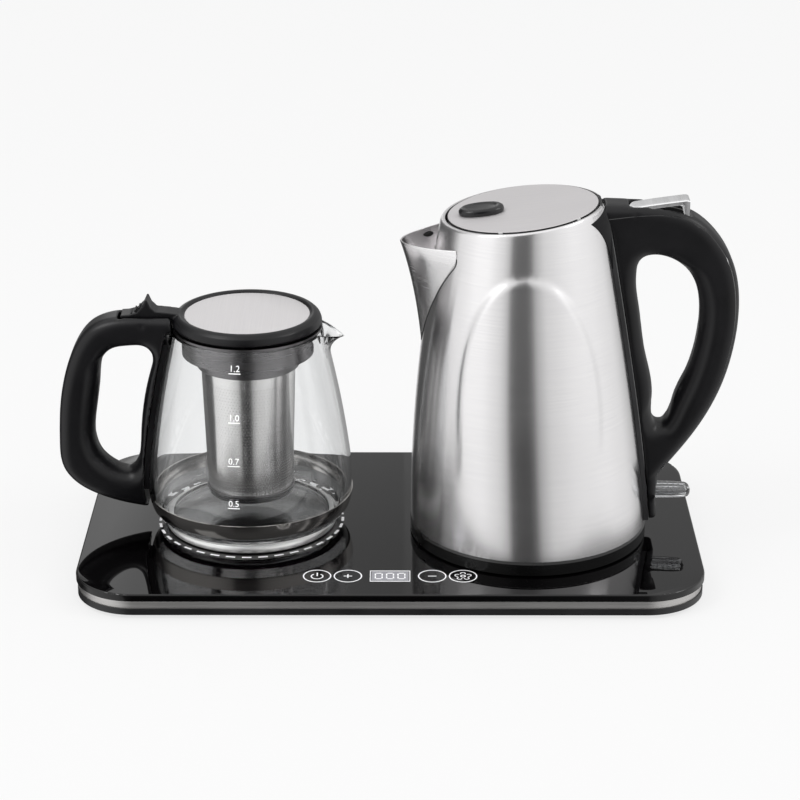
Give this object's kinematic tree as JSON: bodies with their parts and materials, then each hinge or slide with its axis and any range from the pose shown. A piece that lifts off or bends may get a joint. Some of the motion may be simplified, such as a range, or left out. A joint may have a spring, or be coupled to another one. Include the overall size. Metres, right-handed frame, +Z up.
{
  "type": "automatic tea maker",
  "caption": "Automatic tea maker: slim glass-topped touch-control tray carrying a cordless brushed-steel kettle and a glass teapot with a lift-out mesh infuser.",
  "frame": {"origin": "on the resting plane under the middle of the tray", "axes": "+Z up, +X towards the kettle, -Y towards the controls and the user"},
  "size_m": [0.4271, 0.2272, 0.2383],
  "materials": {
    "black_glass": "opaque tempered glass, back-painted black, high gloss",
    "brushed_steel": "fine brushed stainless steel",
    "black_plastic": "satin black moulded plastic",
    "charcoal_plastic": "satin charcoal moulded plastic",
    "clear_glass": "clear borosilicate glass with printed white level marks",
    "clear_plastic": "clear polished plastic",
    "chrome": "polished chrome",
    "steel_fasteners": "plain steel",
    "rubber": "matt",
    "silicone": "soft matt silicone",
    "filter_mesh": "fine stainless mesh",
    "circuit_board": "green solder mask",
    "display": "pale liquid crystal display behind the glass",
    "spring_steel": "plain spring wire",
    "brass": "plain brass contacts",
    "wire_insulation": "silicone insulated",
    "heater_foil": "rolled aluminium",
    "heating_metal": "oxidised steel tube",
    "thermostat_case": "plain ceramic"
  },
  "bodies": {
    "tray": {"glass_top": "black_glass", "trim_band": "brushed_steel", "top_frame": "black_plastic", "bottom_pan": "black_plastic", "rubber_feet": "rubber", "housing_screws": "steel_fasteners", "control_board": "circuit_board", "display_module": "display", "touch_springs": "spring_steel", "power_board": "circuit_board", "cable_gland": "black_plastic", "wiring_leads": "wire_insulation", "warming_heater": "heater_foil", "heater_clamp": "heater_foil", "warming_thermostat": "thermostat_case", "kettle_connector": "black_plastic", "connector_contacts": "brass"},
    "kettle": {"kettle_shell": "brushed_steel", "kettle_spout": "brushed_steel", "spout_filter": "filter_mesh", "neck_ring": "black_plastic", "lid_hinge_pin": "steel_fasteners", "kettle_base_ring": "black_plastic", "kettle_base_cover": "black_plastic", "coupler_socket": "black_plastic", "heating_plate": "heater_foil", "heating_element": "heating_metal", "steam_switch": "black_plastic", "kettle_handle_frame": "black_plastic", "kettle_handle_cover": "black_plastic", "handle_gasket": "silicone", "handle_screws": "steel_fasteners", "release_lever_pin": "steel_fasteners", "switch_pin": "steel_fasteners"},
    "kettle_lid": {"kettle_lid_cap": "brushed_steel", "kettle_lid_liner": "black_plastic", "kettle_lid_seal": "silicone", "kettle_lid_knob": "black_plastic"},
    "release_lever": {"release_lever": "chrome"},
    "switch_lever": {"switch_lever": "clear_plastic"},
    "teapot": {"glass_jug": "clear_glass", "pot_foot_ring": "brushed_steel", "pot_heel_band": "brushed_steel", "pot_handle": "charcoal_plastic", "pot_handle_strip": "charcoal_plastic", "pot_handle_screws": "steel_fasteners", "pot_hinge_pin": "steel_fasteners"},
    "pot_lid": {"pot_lid_ring": "charcoal_plastic", "pot_lid_disc": "brushed_steel", "pot_lid_liner": "charcoal_plastic"},
    "infuser": {"infuser_collar": "charcoal_plastic", "infuser_cup": "brushed_steel", "infuser_base": "charcoal_plastic"}
  },
  "joints": [
    {"name": "kettle_lift", "type": "slide", "parent": "tray", "child": "kettle", "axis": [0, 0, 1], "range_m": [0, 0.12]},
    {"name": "teapot_lift", "type": "slide", "parent": "tray", "child": "teapot", "axis": [0, 0, 1], "range_m": [0, 0.12]},
    {"name": "kettle_lid_hinge", "type": "hinge", "parent": "kettle", "child": "kettle_lid", "pos_m": [0.12835, -0.0128, 0.2345], "axis": [0, 1, 0], "range_deg": [0, 75]},
    {"name": "lid_release", "type": "hinge", "parent": "kettle", "child": "release_lever", "pos_m": [0.1504, -0.0128, 0.2301], "axis": [0, 1, 0], "range_deg": [0, 6], "stiffness_Nm_per_rad": 0.3, "springref_deg": -2.86},
    {"name": "power_switch", "type": "hinge", "parent": "kettle", "child": "switch_lever", "pos_m": [0.1668, -0.0128, 0.0432], "axis": [0, 1, 0], "range_deg": [0, 12]},
    {"name": "teapot_lid_hinge", "type": "hinge", "parent": "teapot", "child": "pot_lid", "pos_m": [-0.156, 0, 0.1527], "axis": [0, -1, 0], "range_deg": [0, 50]},
    {"name": "infuser_turn", "type": "hinge", "parent": "teapot", "child": "infuser", "pos_m": [-0.09, 0, 0.1], "axis": [0, 0, 1], "continuous": true}
  ]
}
